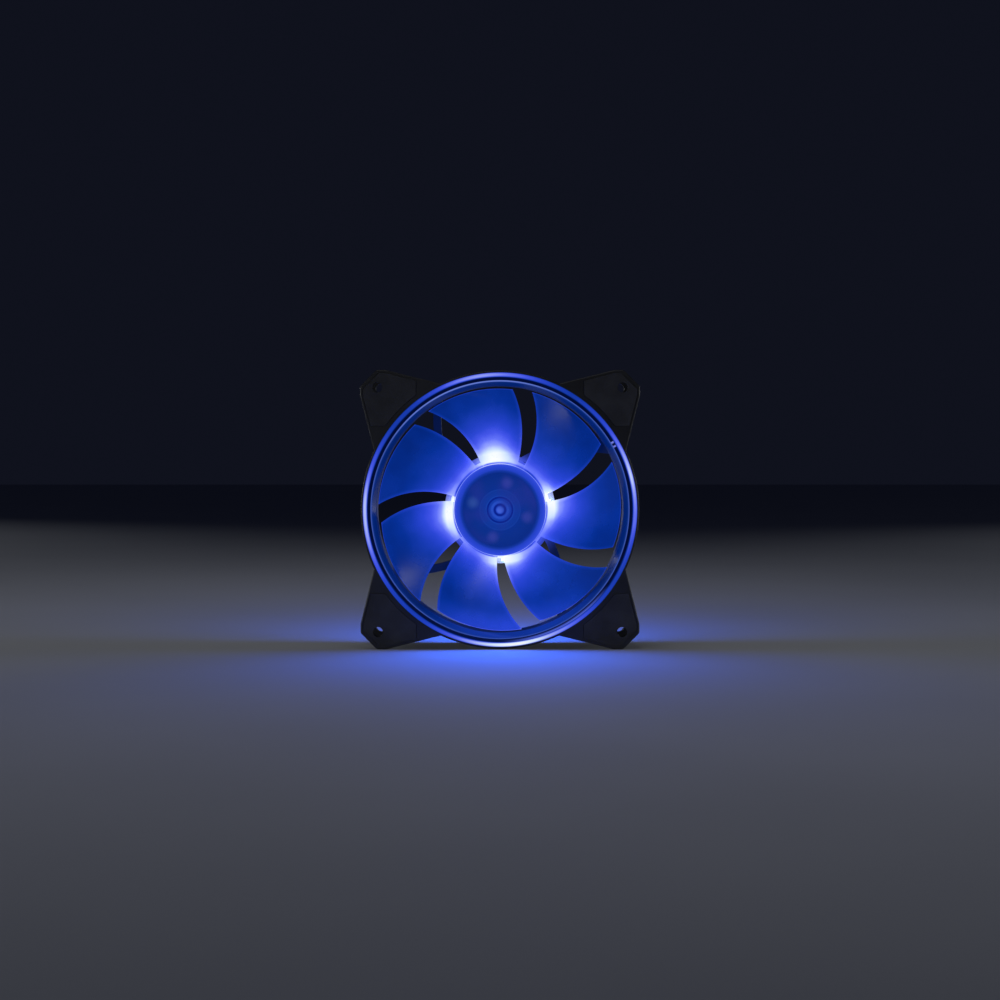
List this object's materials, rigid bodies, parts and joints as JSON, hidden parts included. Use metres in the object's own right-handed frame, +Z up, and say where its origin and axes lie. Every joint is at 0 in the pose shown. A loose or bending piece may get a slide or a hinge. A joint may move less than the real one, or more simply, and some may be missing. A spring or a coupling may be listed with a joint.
{
  "type": "case fan",
  "caption": "Square axial case fan with waisted black frame, clear lit front ring, clear swept blades, struts behind and rubber corner pads.",
  "frame": {"origin": "on the spin axis, halfway through the depth and at the centre of the square frame", "axes": "+Y along the spin axis in the direction of the air flow, from the open intake face to the strut side; +Z up as the fan stands on one edge; +X to the right seen from the intake"},
  "size_m": [0.12, 0.025, 0.12],
  "materials": {
    "frame_plastic": "fine matt moulded texture",
    "ring_plastic": "clear, lit blue from inside",
    "blade_plastic": "clear, polished, lit blue",
    "pad_rubber": "soft matt",
    "cup_steel": "zinc plated, satin",
    "magnet": "ferrite, matt",
    "brass": "turned",
    "bronze": "sintered, oiled",
    "shaft_steel": "ground",
    "core_steel": "stacked laminations",
    "former_plastic": "natural nylon",
    "copper_wire": "enamelled wire",
    "board": "solder resist",
    "chip_plastic": "moulded",
    "component_end": "tinned",
    "led_package": "white reflector",
    "label_foil": "plain satin film"
  },
  "bodies": {
    "housing": {"frame": "frame_plastic", "light_ring": "ring_plastic", "front_pad_1": "pad_rubber", "front_pad_2": "pad_rubber", "front_pad_3": "pad_rubber", "front_pad_4": "pad_rubber", "rear_pad_1": "pad_rubber", "rear_pad_2": "pad_rubber", "rear_pad_3": "pad_rubber", "rear_pad_4": "pad_rubber", "bearing_tube": "brass", "bearing_sleeve": "bronze", "oil_seal": "pad_rubber", "thrust_plate": "former_plastic", "stator_core": "core_steel", "insulator_front": "former_plastic", "insulator_rear": "former_plastic", "coil_1": "copper_wire", "coil_2": "copper_wire", "coil_3": "copper_wire", "coil_4": "copper_wire", "circuit_board": "board", "hall_sensor": "chip_plastic", "driver_chip": "chip_plastic", "capacitor": "component_end", "resistor_1": "component_end", "resistor_2": "component_end", "led_1": "led_package", "led_2": "led_package", "led_3": "led_package", "led_4": "led_package", "rear_label": "label_foil"},
    "rotor": {"impeller": "blade_plastic", "rotor_cup": "cup_steel", "magnet_ring": "magnet", "shaft_insert": "brass", "shaft": "shaft_steel", "retaining_clip": "former_plastic"}
  },
  "joints": [
    {"name": "rotor_spin", "type": "hinge", "parent": "housing", "child": "rotor", "pos_m": [0, 0, 0], "axis": [0, -1, 0], "continuous": true}
  ]
}
